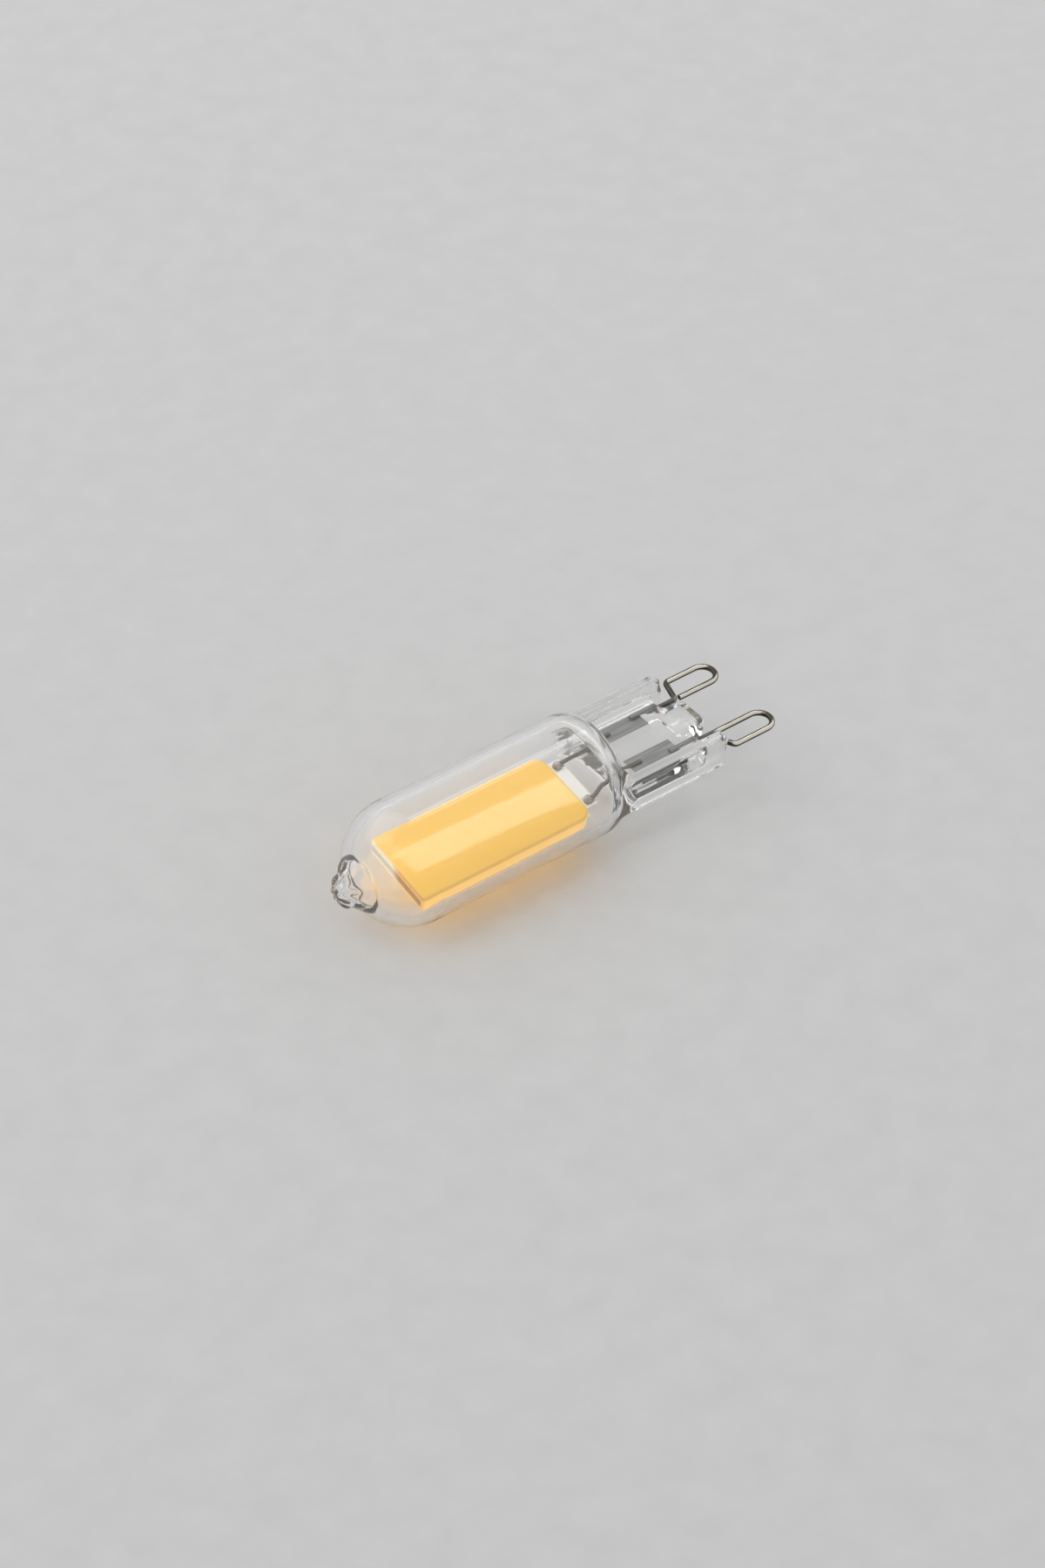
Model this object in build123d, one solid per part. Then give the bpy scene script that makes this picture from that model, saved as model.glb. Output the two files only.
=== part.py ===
"""LED capsule bulb: an all-glass capsule lamp with a coated LED board and two looped contact pins.

The lamp lies on its side. +X runs along the lamp from the sealed tip towards the pins, +Y is across
the flat press seal and +Z is up. Z = 0 is the surface that the round tube lies on, and X = 0 is
halfway along the lamp. Left means +Y and right means -Y. All sizes are in millimetres.
"""

import os
from math import cos, pi, radians, sin, sqrt

from build123d import *

# Round glass tube, with a half-sphere dome at the tip end
tube_diameter = 13.0
tube_wall = 1.0
straight_length = 20.5

# Exhaust tip, where the tube was pumped out and melted shut
tip_bead_radius = 2.2
tip_height = 2.0
tip_neck_radius = 0.9
tip_bore_radius = 1.2
tip_bore_end_radius = 0.3
tip_end_wall = 1.2

# Shoulder, where the round tube runs into the flat seal
shoulder_radius = 2.8
shoulder_wall = 0.9
chamber_end_radius = 2.2
root_flare = 0.9
root_flare_length = 1.0

# Press seal: a thin web between two thick side rails, with a tongue between the pins
seal_length = 11.8
seal_width = 12.6
rail_thickness = 4.0
rail_width = 2.1
rail_slope_run = 0.6
web_thickness = 2.5
rail_edge_radius = 0.55
web_edge_radius = 0.35
tongue_width = 4.2
tongue_overhang = 0.4
tongue_corner_radius = 1.0
rail_end_radius = 1.2
notch_depth = 2.1
notch_corner_radius = 0.95
press_groove_radius = 1.5
press_groove_depth = 0.3
press_groove_to_notch = 1.3

# Looped contact pins
pin_pitch = 9.0
pin_wire_diameter = 0.6
loop_leg_spacing = 2.67
pin_reach = 6.7
pin_bend_radius = 0.55
crossbar_gap = 0.2
crossbar_rake = 0.8
free_leg_gap = 1.0
hook_turn = 0.35

# Foils and inner lead wires
foil_length = 5.7
foil_width = 2.1
foil_thickness = 0.06
foil_side_margin = 2.7
foil_to_notch = 2.1
inner_weld_overlap = 1.5
outer_weld_overlap = 1.1
lead_wire_diameter = 0.45
lead_bend_radius = 0.45
lead_slope_length = 1.0

# Ceramic board and its silicone coat
board_thickness = 0.8
board_to_seal = 1.8
board_bore_gap = 0.4
board_dome_gap = 0.2
board_drop = 1.1
board_roll = 10.0
tab_inset = 0.85
tab_length = 1.7
coat_thickness = 0.5
coat_side_thickness = 0.35
coat_tab_gap = 0.15
coat_end_corner_radius = 1.4
coat_tip_corner_radius = 0.5
coat_edge_radius = 0.3

# Chips, tracks and terminals on the board
track_thickness = 0.04
track_width = 0.6
track_gap = 0.2
chip_length = 0.9
chip_width = 0.5
chip_height = 0.15
chip_pitch = 1.15
chip_row_spacing = 3.2
chip_end_margin = 1.2
driver_zone_length = 3.4
diode_size = 0.7
diode_height = 0.2
diode_spacing = 1.3
regulator_length = 1.4
regulator_width = 1.0
regulator_height = 0.25
pad_length = 1.1
pad_width = 1.2
pad_edge_gap = 0.15
solder_radius = 0.5
solder_height = 0.5

# Stations along the lamp, worked out from the sizes above
tube_radius = tube_diameter / 2
chamber_radius = tube_radius - tube_wall
overall_length = tip_height + tube_radius + straight_length + shoulder_radius + seal_length + pin_reach
tip_end_x = -overall_length / 2
dome_centre_x = tip_end_x + tip_height + tube_radius
tube_end_x = dome_centre_x + straight_length
seal_root_x = tube_end_x + shoulder_radius
seal_end_x = seal_root_x + seal_length
pin_end_x = seal_end_x + pin_reach
notch_root_x = seal_end_x - notch_depth
rail_inner = seal_width / 2 - rail_width
chamber_end_x = seal_root_x - shoulder_wall
foil_pitch = seal_width - 2 * foil_side_margin - foil_width

# The board runs from just short of the dome glass to the seal, as wide as the tube lets it be
coat_half_height = board_thickness / 2 + coat_thickness
roll_sine = sin(radians(board_roll))
roll_cosine = cos(radians(board_roll))
corner_reach = chamber_radius - board_bore_gap
corner_drop = board_drop**2 + coat_half_height**2 + 2 * board_drop * coat_half_height * roll_cosine
coat_half_width = -board_drop * roll_sine + sqrt(
    (board_drop * roll_sine) ** 2 + corner_reach**2 - corner_drop
)
board_width = 2 * (coat_half_width - coat_side_thickness)
tab_width = board_width - 2 * tab_inset
board_dome_reach = sqrt((chamber_radius - board_dome_gap) ** 2 - corner_reach**2)
board_tip_x = dome_centre_x - board_dome_reach
board_end_x = chamber_end_x - board_to_seal
board_length = board_end_x - board_tip_x
coat_length = board_length - tab_length + coat_tab_gap

axis = Pos(0, 0, tube_radius)
board_place = axis * Pos((board_tip_x + board_end_x) / 2, 0, -board_drop) * Rot(board_roll, 0, 0)
wire_radius = pin_wire_diameter / 2
lead_radius = lead_wire_diameter / 2
foil_top_z = -wire_radius
foil_end_x = notch_root_x - foil_to_notch
foil_start_x = foil_end_x - foil_length


def turned(*edges):
    """Turns a closed profile, drawn in the X-Z plane above the lamp's axis, about that axis."""
    return revolve(Plane.XZ * make_face(edges), Axis.X)


def tube_outside():
    """Exhaust tip, dome, tube and shoulder, as one turned solid.

    The neck is an arc that rolls between the bead of the tip and the dome, and touches both.
    """
    bead_centre_x = tip_end_x + tip_bead_radius
    dome_to_bead = dome_centre_x - bead_centre_x
    bead_to_neck = tip_bead_radius + tip_neck_radius
    dome_to_neck = tube_radius + tip_neck_radius
    neck_reach = (dome_to_neck**2 + dome_to_bead**2 - bead_to_neck**2) / (2 * dome_to_bead)
    neck_centre = Vector(dome_centre_x - neck_reach, sqrt(dome_to_neck**2 - neck_reach**2))
    bead_centre = Vector(bead_centre_x, 0)
    dome_centre = Vector(dome_centre_x, 0)
    neck_on_bead = bead_centre + (neck_centre - bead_centre) * (tip_bead_radius / bead_to_neck)
    neck_on_dome = dome_centre + (neck_centre - dome_centre) * (tube_radius / dome_to_neck)
    bead = TangentArc((tip_end_x, 0), neck_on_bead, tangent=(0, 1))
    neck = TangentArc(bead @ 1, neck_on_dome, tangent=bead % 1)
    dome = TangentArc(neck @ 1, (dome_centre_x, tube_radius), tangent=neck % 1)
    barrel = Line(dome @ 1, (tube_end_x, tube_radius))
    shoulder = TangentArc(barrel @ 1, (seal_root_x, tube_radius - shoulder_radius), tangent=(1, 0))
    rest = Polyline(shoulder @ 1, (seal_root_x, 0), (tip_end_x, 0))
    return turned(bead, neck, dome, barrel, shoulder, *rest.edges())


def chamber():
    """The space inside the glass, with the bore that narrows into the exhaust tip."""
    bore_end_x = tip_end_x + tip_end_wall
    bore_mouth_x = dome_centre_x - sqrt(chamber_radius**2 - tip_bore_radius**2)
    bore = Line((bore_end_x, tip_bore_end_radius), (bore_mouth_x, tip_bore_radius))
    dome = ThreePointArc(
        bore @ 1,
        (dome_centre_x - chamber_radius * cos(pi / 4), chamber_radius * sin(pi / 4)),
        (dome_centre_x, chamber_radius),
    )
    barrel = Line(dome @ 1, (chamber_end_x - chamber_end_radius, chamber_radius))
    end = TangentArc(barrel @ 1, (chamber_end_x, chamber_radius - chamber_end_radius), tangent=(1, 0))
    rest = Polyline(end @ 1, (chamber_end_x, 0), (bore_end_x, 0), bore @ 0)
    return turned(bore, dome, barrel, end, *rest.edges())


def seal_section(flare=0):
    """Section across the seal, grown by the flare above and below.

    It has two rails, whose inner sides slope down to the web.
    """
    rail_top = rail_thickness / 2 + flare
    web_top = web_thickness / 2 + flare
    rail_foot = rail_inner - rail_slope_run
    upper = [
        (-seal_width / 2, rail_top),
        (-rail_inner, rail_top),
        (-rail_foot, web_top),
        (rail_foot, web_top),
        (rail_inner, rail_top),
        (seal_width / 2, rail_top),
    ]
    section = Polygon(*[(y, -z) for y, z in upper], *reversed(upper), align=None)
    outer = [v for v in section.vertices() if abs(v.X) > rail_inner + rail_width / 2]
    section = fillet(outer, rail_edge_radius)
    steps = [v for v in section.vertices() if abs(v.X) < rail_inner + rail_width / 4]
    return fillet(steps, web_edge_radius)


def seal_outline():
    """Outline of the seal seen from above, with the tongue standing between two notches."""
    notch_width = rail_inner - tongue_width / 2
    start_x = tube_end_x
    body_length = seal_end_x - start_x
    body = Pos(start_x + body_length / 2, 0) * Rectangle(body_length, seal_width)
    body = fillet(body.vertices().group_by(Axis.X)[-1], rail_end_radius)
    tongue_length = body_length + tongue_overhang
    tongue = Pos(start_x + tongue_length / 2, 0) * Rectangle(tongue_length, tongue_width)
    tongue = fillet(tongue.vertices().group_by(Axis.X)[-1], tongue_corner_radius)
    notch_length = 2 * notch_depth
    notch = Rectangle(notch_length, notch_width)
    notch = fillet(notch.vertices().group_by(Axis.X)[0], notch_corner_radius)
    outline = body
    for side in (-1, 1):
        outline -= Pos(notch_root_x + notch_length / 2, side * (tongue_width + notch_width) / 2) * notch
    return outline + tongue


def across(x):
    """Plane across the lamp at a station along it."""
    return Plane(origin=(x, 0, 0), x_dir=(0, 1, 0), z_dir=(1, 0, 0))


def press_seal():
    """The flat seal: its section run along the lamp, cut to its outline, with the press grooves."""
    length = seal_end_x + tongue_overhang - tube_end_x
    section = across(tube_end_x) * seal_section()
    seal = extrude(section, length) & extrude(seal_outline(), rail_thickness, both=True)
    groove_x = notch_root_x - press_groove_to_notch
    groove_offset = web_thickness / 2 - press_groove_depth + press_groove_radius
    groove = Rot(90, 0, 0) * Cylinder(press_groove_radius, tongue_width)
    for side in (-1, 1):
        seal -= Pos(groove_x, 0, side * groove_offset) * groove
    return seal


def seal_root():
    """The seal's section flaring out towards the shoulder, no wider than the tube."""
    wide = across(tube_end_x) * seal_section(root_flare)
    narrow = across(seal_root_x + root_flare_length) * seal_section()
    return loft([wide, narrow], ruled=True) & Rot(0, 90, 0) * Cylinder(tube_radius, overall_length)


def glass_envelope(sealed_in):
    """The whole envelope, hollow, with the glass closed round every piece that is sealed in it."""
    outside = tube_outside() + press_seal() + seal_root()
    envelope = axis * (outside - chamber())
    for piece in sealed_in:
        envelope -= piece
    return envelope


def wire(path, diameter):
    """A round wire along a path."""
    return sweep(Plane(origin=path @ 0, z_dir=path % 0) * Circle(diameter / 2), path=path)


def contact_pin(side, crossed):
    """A looped pin on one side (+1 left, -1 right), drawn from its weld on the foil outwards.

    A crossed pin goes over to its outer leg first and ends in a straight free inner leg. The other
    runs straight into its inner leg and ends in a small hook beside the glass.
    """
    inner_y = side * (pin_pitch - loop_leg_spacing) / 2
    outer_y = side * (pin_pitch + loop_leg_spacing) / 2
    weld_x = foil_end_x - outer_weld_overlap
    bend_x = pin_end_x - wire_radius - loop_leg_spacing / 2
    crossbar_x = seal_end_x + crossbar_gap + wire_radius
    free_end_x = seal_end_x + free_leg_gap
    if crossed:
        first_y, last_y = outer_y, inner_y
        shank = FilletPolyline(
            (weld_x, inner_y),
            (crossbar_x, inner_y),
            (crossbar_x + crossbar_rake, outer_y),
            (bend_x, outer_y),
            radius=pin_bend_radius,
        )
        free_leg = Line((bend_x, inner_y), (free_end_x, inner_y))
    else:
        first_y, last_y = inner_y, outer_y
        shank = Line((weld_x, inner_y), (bend_x, inner_y))
        free_leg = FilletPolyline(
            (bend_x, outer_y),
            (free_end_x, outer_y),
            (free_end_x - hook_turn, outer_y - side * 2 * hook_turn),
            radius=pin_bend_radius,
        )
    apex = (bend_x + loop_leg_spacing / 2, side * pin_pitch / 2)
    loop = ThreePointArc((bend_x, first_y), apex, (bend_x, last_y))
    return wire(axis * Wire([*shank.edges(), loop, *free_leg.edges()]), pin_wire_diameter)


def seal_foil(side):
    """A thin flat foil in the seal, under the welded ends of its two wires."""
    middle_x = foil_start_x + foil_length / 2
    middle_z = foil_top_z - foil_thickness / 2
    foil = Box(foil_length, foil_width, foil_thickness)
    return axis * Pos(middle_x, side * foil_pitch / 2, middle_z) * foil


def on_board(x, y, height, face=1):
    """Place on a face of the board (+1 top, -1 bottom), x from the board's middle."""
    return board_place * Pos(x, y, face * (board_thickness / 2 + height))


def pad_centre(side):
    """Middle of a terminal, on the board: x along it and y across it."""
    pad_x = board_length / 2 - coat_tab_gap - pad_length / 2
    pad_y = tab_width / 2 - pad_edge_gap - pad_width / 2
    return pad_x, side * pad_y


def inner_lead(side):
    """A lead wire from its weld on the foil, through the glass and down onto its terminal."""
    pad_x, pad_y = pad_centre(side)
    lift = track_thickness + lead_radius
    inner_end = on_board(pad_x - pad_length / 4, pad_y, lift).position
    board_edge = on_board(board_length / 2, pad_y, lift).position
    lead_z = tube_radius + foil_top_z + lead_radius
    lead_y = side * foil_pitch / 2
    path = FilletPolyline(
        (foil_start_x + inner_weld_overlap, lead_y, lead_z),
        (board_edge.X + lead_slope_length, lead_y, lead_z),
        board_edge,
        inner_end,
        radius=lead_bend_radius,
    )
    return wire(path, lead_wire_diameter)


def solder_joint(side, lead):
    """A low dome of solder on the terminal, closed round the end of its lead wire."""
    cap_radius = (solder_radius**2 + solder_height**2) / (2 * solder_height)
    dome = Pos(0, 0, solder_height - cap_radius) * Sphere(cap_radius)
    dome &= Pos(0, 0, solder_height / 2) * Box(4 * solder_radius, 4 * solder_radius, solder_height)
    pad_x, pad_y = pad_centre(side)
    return on_board(pad_x, pad_y, track_thickness) * dome - lead


def input_pad(side):
    """A printed terminal on the tab."""
    pad_x, pad_y = pad_centre(side)
    return on_board(pad_x, pad_y, track_thickness / 2) * Box(pad_length, pad_width, track_thickness)


def led_board():
    """Flat ceramic board with a narrower tab at the end where the lead wires land."""
    body_length = board_length - tab_length
    body = Pos(-tab_length / 2, 0, 0) * Box(body_length, board_width, board_thickness)
    tab_size = Box(2 * tab_length, tab_width, board_thickness)
    tab = Pos(board_length / 2 - tab_length, 0, 0) * tab_size
    return board_place * (body + tab)


def chip_positions():
    """Places of the chips along the board, as many as fit beside the driver dies."""
    start = -board_length / 2 + chip_end_margin + chip_length / 2
    run = board_length - tab_length - driver_zone_length - chip_end_margin - chip_length
    return [start + i * chip_pitch for i in range(int(run / chip_pitch) + 1)]


def led_chips(face):
    """Two rows of chips on one face, each lying across a gap in the tracks."""
    height = track_thickness + chip_height / 2
    return [
        on_board(x, row * chip_row_spacing / 2, height, face) * Box(chip_length, chip_width, chip_height)
        for row in (-1, 1)
        for x in chip_positions()
    ]


def chip_tracks(face):
    """Printed track pieces that join each chip to the next, with one at each end of a row."""
    first = chip_positions()[0] - chip_pitch / 2
    size = Box(chip_pitch - track_gap, track_width, track_thickness)
    return [
        on_board(first + i * chip_pitch, row * chip_row_spacing / 2, track_thickness / 2, face) * size
        for row in (-1, 1)
        for i in range(len(chip_positions()) + 1)
    ]


def driver_x():
    """Middle of the driver dies, beside the last track."""
    return board_length / 2 - tab_length - driver_zone_length / 2


def rectifier_diodes():
    """Four diode dies in a square."""
    half = diode_spacing / 2
    die = Box(diode_size, diode_size, diode_height)
    return [
        on_board(driver_x() + dx, chip_row_spacing / 2 + dy, diode_height / 2) * die
        for dx in (-half, half)
        for dy in (-half, half)
    ]


def current_regulator():
    """The driver die, on the other side of the board's middle."""
    size = Box(regulator_length, regulator_width, regulator_height)
    return on_board(driver_x(), -chip_row_spacing / 2, regulator_height / 2) * size


def phosphor_coat(covered):
    """Silicone moulded round both faces and both long edges, open at the board's two ends."""
    outline = Rectangle(coat_length, 2 * coat_half_width)
    outline = fillet(outline.vertices().group_by(Axis.X)[-1], coat_end_corner_radius)
    outline = fillet(outline.vertices().group_by(Axis.X)[0], coat_tip_corner_radius)
    coat = extrude(outline, coat_half_height, both=True)
    rims = coat.edges().group_by(Axis.Z)
    coat = fillet([*rims[0], *rims[-1]], coat_edge_radius)
    coat = board_place * Pos((coat_length - board_length) / 2, 0, 0) * coat
    for piece in covered:
        coat -= piece
    return coat


def build():
    """Makes every piece and writes one file each."""
    pins = {
        "contact_pin_left": contact_pin(1, crossed=True),
        "contact_pin_right": contact_pin(-1, crossed=False),
    }
    foils = {"seal_foil_left": seal_foil(1), "seal_foil_right": seal_foil(-1)}
    leads = {"inner_lead_left": inner_lead(1), "inner_lead_right": inner_lead(-1)}
    board = {"led_board": led_board()}
    dies = {
        "led_chips_top": led_chips(1),
        "led_chips_bottom": led_chips(-1),
        "chip_tracks_top": chip_tracks(1),
        "chip_tracks_bottom": chip_tracks(-1),
        "rectifier_diodes": rectifier_diodes(),
        "current_regulator": [current_regulator()],
    }
    terminals = {
        "input_pad_left": input_pad(1),
        "input_pad_right": input_pad(-1),
        "solder_joint_left": solder_joint(1, leads["inner_lead_left"]),
        "solder_joint_right": solder_joint(-1, leads["inner_lead_right"]),
    }
    covered = [board["led_board"], *[solid for group in dies.values() for solid in group]]
    sealed_in = [*pins.values(), *foils.values(), *leads.values()]
    nodes = {
        "glass_envelope": glass_envelope(sealed_in),
        "phosphor_coat": phosphor_coat(covered),
        **pins,
        **foils,
        **leads,
        **board,
        **terminals,
        **{name: Compound(children=group) for name, group in dies.items()},
    }
    os.makedirs("parts", exist_ok=True)
    for name, shape in nodes.items():
        export_step(shape, f"parts/{name}.step")


build()
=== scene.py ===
"""Studio picture of an LED capsule bulb: clear glass round a phosphor-coated board, on a pale floor.

The row frame is the CAD's: +X runs from the sealed tip towards the pins, +Y is across the flat press
seal, +Z is up and the floor is Z = 0. All lengths are in metres; sizes are written in millimetres
times MM.
"""

import logging
import math
from collections.abc import Callable
from dataclasses import dataclass, field
from enum import Enum

import bpy
import numpy as np
from mathutils import Matrix, Vector


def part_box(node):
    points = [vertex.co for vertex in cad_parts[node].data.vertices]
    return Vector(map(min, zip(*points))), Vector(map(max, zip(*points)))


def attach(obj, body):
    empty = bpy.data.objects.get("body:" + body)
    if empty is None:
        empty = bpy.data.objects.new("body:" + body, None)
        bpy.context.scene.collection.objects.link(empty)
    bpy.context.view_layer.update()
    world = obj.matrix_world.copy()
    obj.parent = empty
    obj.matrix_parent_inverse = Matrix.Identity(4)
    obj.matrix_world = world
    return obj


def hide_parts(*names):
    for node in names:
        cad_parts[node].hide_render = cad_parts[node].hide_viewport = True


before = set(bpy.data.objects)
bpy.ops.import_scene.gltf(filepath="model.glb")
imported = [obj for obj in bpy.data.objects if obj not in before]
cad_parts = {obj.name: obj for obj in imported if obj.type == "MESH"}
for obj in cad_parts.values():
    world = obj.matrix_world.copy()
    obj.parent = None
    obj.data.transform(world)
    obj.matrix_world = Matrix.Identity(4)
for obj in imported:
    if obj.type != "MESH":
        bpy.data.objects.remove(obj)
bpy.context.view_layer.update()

MM = 0.001
LOG = logging.getLogger("led_capsule_bulb")

# Blender's mixing node repeats its inputs' names, so what it needs to mix colours goes by number.
MIX_SHARE, MIX_FROM, MIX_TO, MIX_RESULT = 0, 6, 7, 2

# Types that many signatures share.
Socket = bpy.types.NodeSocket
Triple = tuple[float, float, float]
Distance = Callable[[np.ndarray, np.ndarray, np.ndarray], np.ndarray]


class Noise(Enum):
    """How coarse a mottled pattern is, as the width of its patches in metres."""

    # Grain of fired ceramic and print is about 0.02 mm, too fine to show here, so it is drawn coarser.
    FINE = 0.15 * MM
    # Patches of oxide on drawn wire, and rolling marks on foil.
    MEDIUM = 0.8 * MM
    # Waves in drawn glass tube, and cloudiness of paper.
    COARSE = 4.0 * MM


class Axis(Enum):
    """A direction of the row frame, by the name that Blender's nodes give it."""

    ALONG = "X"
    ACROSS = "Y"
    UP = "Z"


def linear(hex_colour: str) -> tuple[float, float, float, float]:
    """Turns an sRGB colour into the linear one that shaders take.

    Args:
        hex_colour: Colour as #RRGGBB.

    Returns:
        Linear red, green, blue and an alpha of 1.
    """
    channels = [int(hex_colour[i : i + 2], 16) / 255 for i in (1, 3, 5)]
    flat = [c / 12.92 if c <= 0.04045 else ((c + 0.055) / 1.055) ** 2.4 for c in channels]
    return (*flat, 1.0)


def add_node(
    tree: bpy.types.NodeTree, kind: str, inputs: dict[int | str, object] | None = None, **settings: object
) -> bpy.types.Node:
    """Adds a shader node.

    Args:
        tree: Node tree that gets the node.
        kind: Node type's identifier.
        inputs: Values for its inputs, or sockets to link to them, by name or number.
        **settings: Attributes to set on the node.

    Returns:
        The new node.
    """
    node = tree.nodes.new(kind)
    for name, value in settings.items():
        setattr(node, name, value)
    for key, value in (inputs or {}).items():
        if isinstance(value, Socket):
            tree.links.new(value, node.inputs[key])
        else:
            node.inputs[key].default_value = value
    return node


def new_material(name: str) -> tuple[bpy.types.Material, bpy.types.NodeTree, bpy.types.Node]:
    """Makes an empty node material.

    Args:
        name: Name of the real material.

    Returns:
        The material, its node tree and its output node.
    """
    material = bpy.data.materials.new(name)
    material.use_nodes = True
    material.node_tree.nodes.clear()
    return material, material.node_tree, add_node(material.node_tree, "ShaderNodeOutputMaterial")


def mottle(tree: bpy.types.NodeTree, grain: Noise, stretch: Triple = (1, 1, 1)) -> Socket:
    """Adds a mottled pattern that stays on the piece.

    Args:
        tree: Node tree that gets the pattern.
        grain: Patch size.
        stretch: How many times finer the pattern is along X, Y and Z.

    Returns:
        Socket with the pattern's value, 0 to 1.
    """
    on_piece = add_node(tree, "ShaderNodeTexCoord").outputs["Object"]
    scaled = add_node(tree, "ShaderNodeMapping", {"Vector": on_piece, "Scale": stretch})
    noise = add_node(
        tree,
        "ShaderNodeTexNoise",
        {"Vector": scaled.outputs[0], "Scale": 1 / grain.value, "Detail": 3.0, "Roughness": 0.55},
    )
    return noise.outputs["Fac"]


def shade(
    tree: bpy.types.NodeTree, value: Socket, low: str, high: str, start: float = 0.3, end: float = 0.7
) -> Socket:
    """Adds a shading from one colour to another.

    Args:
        tree: Node tree that gets the shading.
        value: Socket that drives it.
        low: Colour up to start.
        high: Colour from end on.
        start: Value where the change begins.
        end: Value where the change ends.

    Returns:
        Socket with the colour.
    """
    share = add_node(tree, "ShaderNodeMapRange", {"Value": value, "From Min": start, "From Max": end})
    mixed = add_node(
        tree,
        "ShaderNodeMix",
        {MIX_SHARE: share.outputs[0], MIX_FROM: linear(low), MIX_TO: linear(high)},
        data_type="RGBA",
    )
    return mixed.outputs[MIX_RESULT]


def facing(tree: bpy.types.NodeTree, axis: Axis) -> Socket:
    """Returns the socket with one part of the direction that the surface faces."""
    outward = add_node(tree, "ShaderNodeNewGeometry").outputs["True Normal"]
    return add_node(tree, "ShaderNodeSeparateXYZ", {0: outward}).outputs[axis.value]


def place(tree: bpy.types.NodeTree, axis: Axis) -> Socket:
    """Returns the socket with one part of the place on the piece."""
    on_piece = add_node(tree, "ShaderNodeTexCoord").outputs["Object"]
    return add_node(tree, "ShaderNodeSeparateXYZ", {0: on_piece}).outputs[axis.value]


@dataclass(frozen=True)
class PaintedEndLight:
    """Painted light and shade on the end that looks towards the lamp's tip: its far half is painted pale as
    if lit, its near half darker as if shaded.
    """

    near: str
    far: str = "#FFF8E2"
    facing_from: float = -0.4
    facing_full: float = -0.8
    half_seam: float = 0.6 * MM

    def over(self, tree: bpy.types.NodeTree, colour: Socket) -> Socket:
        """Paints the end's light and shade.

        Args:
            tree: Node tree that gets the colours.
            colour: Socket with the colour elsewhere.

        Returns:
            Socket with the colour everywhere.
        """
        turned = facing(tree, Axis.ALONG)
        at_end = add_node(
            tree,
            "ShaderNodeMapRange",
            {"Value": turned, "From Min": self.facing_from, "From Max": self.facing_full},
        )
        end = shade(tree, place(tree, Axis.ACROSS), self.near, self.far, -self.half_seam, self.half_seam)
        mixed = add_node(
            tree,
            "ShaderNodeMix",
            {MIX_SHARE: at_end.outputs[0], MIX_FROM: colour, MIX_TO: end},
            data_type="RGBA",
        )
        return mixed.outputs[MIX_RESULT]


@dataclass(frozen=True)
class MottledFinish:
    """An opaque surface whose colour and height vary a little from patch to patch."""

    name: str
    dark: str
    light: str
    roughness: float
    metallic: float = 0.0
    grain: Noise = Noise.MEDIUM
    stretch: Triple = (1, 1, 1)
    relief: float = 0.002 * MM

    def colour(self, tree: bpy.types.NodeTree, pattern: Socket) -> Socket:
        """Returns the socket with the surface's colour, given the mottled pattern's socket."""
        return shade(tree, pattern, self.dark, self.light)

    def material(self) -> bpy.types.Material:
        """Makes the finish's material.

        Returns:
            The material, with its pattern both as colour and as height.
        """
        material, tree, output = new_material(self.name)
        pattern = mottle(tree, self.grain, self.stretch)
        bump = add_node(tree, "ShaderNodeBump", {"Height": pattern, "Distance": self.relief})
        surface = add_node(
            tree,
            "ShaderNodeBsdfPrincipled",
            {
                "Base Color": self.colour(tree, pattern),
                "Roughness": self.roughness,
                "Metallic": self.metallic,
                "Normal": bump.outputs["Normal"],
            },
        )
        tree.links.new(surface.outputs[0], output.inputs["Surface"])
        return material


@dataclass(frozen=True)
class CeramicWithPaintedEnd(MottledFinish):
    """White ceramic whose cut end has painted light on its far half and painted shade on its near half."""

    # The end is painted pale on its far half and darker on its near half: painted light and shade.
    end: PaintedEndLight = PaintedEndLight(near="#D9A050")

    def colour(self, tree: bpy.types.NodeTree, pattern: Socket) -> Socket:
        """Returns the socket with the surface's colour, given the mottled pattern's socket."""
        return self.end.over(tree, super().colour(tree, pattern))


@dataclass(frozen=True)
class ClearGlass:
    """Drawn, fire-polished lamp glass, which the eye knows by bent lines, gentle waves and bright edges.

    It isn't wholly clear: a haze on the worked surface turns the light that is trapped in thick edges milky.
    """

    name: str = "clear_lamp_glass"
    index: float = 1.42
    clearness: float = 0.955
    wave: Noise = Noise.COARSE
    wave_stretch: Triple = (0.35, 1, 1)
    wave_height: float = 0.02 * MM
    shadow_tint: str = "#FAFBFA"

    def material(self) -> bpy.types.Material:
        """Makes the glass's material.

        Returns:
            The material, which lets lamp light through to what the glass holds.
        """
        material, tree, output = new_material(self.name)
        pattern = mottle(tree, self.wave, self.wave_stretch)
        bump = add_node(tree, "ShaderNodeBump", {"Height": pattern, "Distance": self.wave_height})
        glass = add_node(
            tree,
            "ShaderNodeBsdfPrincipled",
            {
                "Base Color": (1, 1, 1, 1),
                "Roughness": 0.0,
                "IOR": self.index,
                "Transmission Weight": self.clearness,
                "Normal": bump.outputs["Normal"],
            },
        )
        clear = add_node(tree, "ShaderNodeBsdfTransparent", {"Color": linear(self.shadow_tint)})
        ray = add_node(tree, "ShaderNodeLightPath")
        mixed = add_node(
            tree,
            "ShaderNodeMixShader",
            {0: ray.outputs["Is Shadow Ray"], 1: glass.outputs[0], 2: clear.outputs[0]},
        )
        tree.links.new(mixed.outputs[0], output.inputs["Surface"])
        return material


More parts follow.
